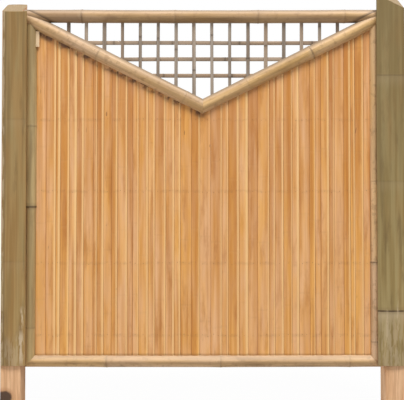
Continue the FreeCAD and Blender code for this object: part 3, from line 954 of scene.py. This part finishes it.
# side, face, joints, width at the top, warmth, tones, worn patches, bare edge, split, reach past the post
PLANKS = (
    ("left", "front", left_joints, 120 / 123, 0.80, (0.35, 0.00, -0.24, -0.38, -0.47),
     left_worn, -0.049, -0.77, 0.0),
    ("left", "back", left_joints, 1.0, 0.60, (-0.10, -0.20, -0.30, -0.35, -0.35),
     (), NO_BARE_EDGE, None, 0.0),
    ("right", "front", right_joints, 1.0, 0.00, (0.25, 0.15, -0.22, -0.62, -0.90),
     right_worn, NO_BARE_EDGE, None, 0.003),
    ("right", "back", right_joints, 1.0, 0.40, (-0.10, -0.20, -0.30, -0.40, -0.40),
     (), NO_BARE_EDGE, None, 0.0))
for index, (side, face, joints, taper, warmth, tones, patches, bare, split, beyond) in enumerate(PLANKS):
    solid = "cover_%s_%s" % (side, face)
    depth = -1 if face == "front" else 1
    low, high = node_box[solid]
    half = (high.x - low.x + beyond) / 2
    centre = (high.x + low.x + beyond) / 2
    timber_y = depth * node_box["post_" + side][1].y
    rough_top = high.z + SAW_ALLOWANCE
    places = ring_places(low.z, rough_top, [j for j, plain in joints], 0.03)
    piece = strip("post_plank_%s_%s" % (side, face), plank_outline(half, split), places, joints,
                  lambda x, y, z, c=centre, t=timber_y, d=depth: (c - d * x, t - d * y, z),
                  PLANK_RISE, 61 + 3 * index, 0.0, warmth,
                  width=lambda z, f=low.z, g=rough_top, k=taper: 1 + (k - 1) * (z - f) / (g - f),
                  worn=lambda across, z, p=patches, b=bare: rubbed_off(across, z, p, b),
                  shade=lambda z, t=tones: np.interp(z, TONE_HEIGHTS, t))
    cut(piece, *saw_plane(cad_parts["post_" + side]))
    dress(piece, plank_finish, "post_bamboo", solid)
print("planks on the posts:", len(PLANKS))

# %% [markdown]
# A short pale offcut is wedged between the left side pole and the first slat, under the pole of the V. It
# packs the corner where the slat is too narrow, and shows the pale inside of its culm.

# %% Offcut in the left corner
OFFCUT_LENGTH = 0.080
OFFCUT_HALF = 0.0095
OFFCUT_THICK = 0.004
OFFCUT_FORWARD = 0.0125
offcut_x = node_box["stile_left"][1].x + 0.0035
offcut_top = brace_line(offcut_x, -BRACE_RADIUS)
offcut_low = offcut_top - OFFCUT_LENGTH
outline = lattice_outline(OFFCUT_HALF, OFFCUT_THICK)
outline[:, 4] = 0.0
piece = strip("corner_offcut", outline, np.linspace(offcut_low, offcut_top, 6), [offcut_top + 1.0],
              lambda x, y, z: (offcut_x + x, y - OFFCUT_FORWARD, z), 0.0, 97, 0.6, 0.3)
dress(piece, frame_finish, "frame_bamboo")
print("offcut from", round(offcut_low, 3), "to", round(offcut_top, 3))

# %% [markdown]
# Small rusty nail heads hold the slats to the four battens. They are too small for the frame, but a row of
# dots across the slats tells the eye where a batten is. All heads are one mesh of low domes. A broad slat
# has two nails at each batten, a narrow one has one.

# %% Nails
NAIL_RADIUS = 0.0017
NAIL_HEIGHT = 0.0009
NAIL_SIDES = 8
NAIL_RINGS = ((1.0, 0.0), (0.85, 0.6), (0.45, 0.95))
BROAD_SLAT = 0.048


def nail_heads(name, places):
    """Low domes at these places, each facing -Y."""
    points, faces = [], []
    for x, y, z in places:
        base = len(points)
        for r, h in NAIL_RINGS:
            for i in range(NAIL_SIDES):
                a = 2 * math.pi * i / NAIL_SIDES
                across, up = NAIL_RADIUS * r * math.cos(a), NAIL_RADIUS * r * math.sin(a)
                points.append((x + across, y - NAIL_HEIGHT * h, z + up))
        points.append((x, y - NAIL_HEIGHT, z))
        faces += ring_faces(len(NAIL_RINGS), NAIL_SIDES, NAIL_SIDES, base)
        tip = len(points) - 1
        upper = tip - NAIL_SIDES
        faces += [(upper + i, upper + (i + 1) % NAIL_SIDES, tip) for i in range(NAIL_SIDES)]
        faces.append(tuple(base + i for i in reversed(range(NAIL_SIDES))))
    return new_piece(name, points, faces, {}, 80)


nail_finish = new_material("dull_nail")
rust = noise(place_on(), (300, 300, 300), 3.0)
rusty = mix(mask(rust, 0.4, 0.65), seen(150, 104, 62), seen(182, 128, 78))
plug(surface_of(nail_finish), {"Metallic": 0.1, "Base Color": rusty, "Roughness": scaled(rust, 0.4, 0.45),
                               "Normal": relief(rust, 0.3, 0.0005)})
heads = []
chance = random.Random(5)
for name in slat_names:
    low, high = node_box[name]
    width = high.x - low.x
    for z in batten_rows:
        for share in (0.28, 0.72) if width > BROAD_SLAT else (0.5,):
            x = low.x + width * (share + chance.uniform(-0.06, 0.06))
            heads.append((x, low.y * 0.93, z + chance.uniform(-0.006, 0.006)))
dress(nail_heads("slat_nails", heads), nail_finish, "batten")
print("nail heads:", len(heads))

# %% [markdown]
# The object stands on a pale floor under soft light. The floor is part plain diffuse, so that it takes a
# shadow, and part white to the camera, so that it fades into the white background.

# %% Floor and background
FLOOR_REACH = 14
SKY = 0.35
corners = [(x * FLOOR_REACH, y * FLOOR_REACH, 0) for x, y in ((-1, -1), (1, -1), (1, 1), (-1, 1))]
floor_mesh = bpy.data.meshes.new("floor")
floor_mesh.from_pydata(corners, [], [(0, 1, 2, 3)])
floor = add_object("floor", floor_mesh)
floor_finish = new_material("pale_floor")
tree.nodes.remove(tree.nodes["Principled BSDF"])
to_camera = add_node("LightPath").outputs["Is Camera Ray"]
paleness = mix(to_camera, (0.42, 0.42, 0.42, 1), (0.85, 0.85, 0.84, 1))
matt = add_node("BsdfDiffuse", sockets={"Color": paleness})
white = add_node("Emission", sockets={"Strength": 1.0})
sockets = {"Fac": times(to_camera, 0.97), 1: matt.outputs[0], 2: white.outputs[0]}
both = add_node("MixShader", sockets=sockets)
plug(tree.nodes["Material Output"].inputs, {"Surface": both.outputs[0]})
floor.data.materials.append(floor_finish)

world = bpy.data.worlds.new("studio")
bpy.context.scene.world = world
world.use_nodes = True
tree = world.node_tree
paths = add_node("LightPath").outputs
direct = maths("MAXIMUM", paths["Is Camera Ray"], paths["Is Glossy Ray"])
direct = maths("MAXIMUM", direct, paths["Is Transmission Ray"])
strength = scaled(direct, 1.0 - SKY, SKY)
plug(tree.nodes["Background"].inputs, {"Color": (1, 1, 1, 1), "Strength": strength})
print("floor and background made")

# %% [markdown]
# One large lamp high in front gives the soft shadow under the V. A weak one from the left keeps the far sides
# readable, and one behind does the same for the back. The camera stands a little below the middle of the
# panel and looks slightly up, as in the photograph.

# %% Lamps and camera
LAMP_SIZE = 4.0
CAMERA_PLACE = (-0.005, -3.65, 0.965)
CAMERA_TILT = 91.24
CAMERA_LENS = 64.0
# name, place, height of the aim, power
LAMPS = (("key", (1.6, -5.05, 12.3), 1.1, 1560),
         ("fill", (-7.0, -6.0, 2.4), 1.0, 140),
         ("back", (-2.5, 7.5, 4.5), 1.0, 320))
for name, place, aim, power in LAMPS:
    data = bpy.data.lights.new(name, "AREA")
    data.energy = power
    data.size = LAMP_SIZE
    made = add_object(name, data)
    made.location = place
    made.rotation_euler = (Vector((0, 0, aim)) - Vector(place)).to_track_quat("-Z", "Y").to_euler()
camera_data = bpy.data.cameras.new("camera")
camera_data.lens = CAMERA_LENS
camera = add_object("camera", camera_data)
camera.location = CAMERA_PLACE
camera.rotation_euler = (math.radians(CAMERA_TILT), 0, 0)
bpy.context.scene.camera = camera
bpy.context.scene.view_settings.view_transform = "Standard"
print("camera at", [round(c, 3) for c in camera.location])
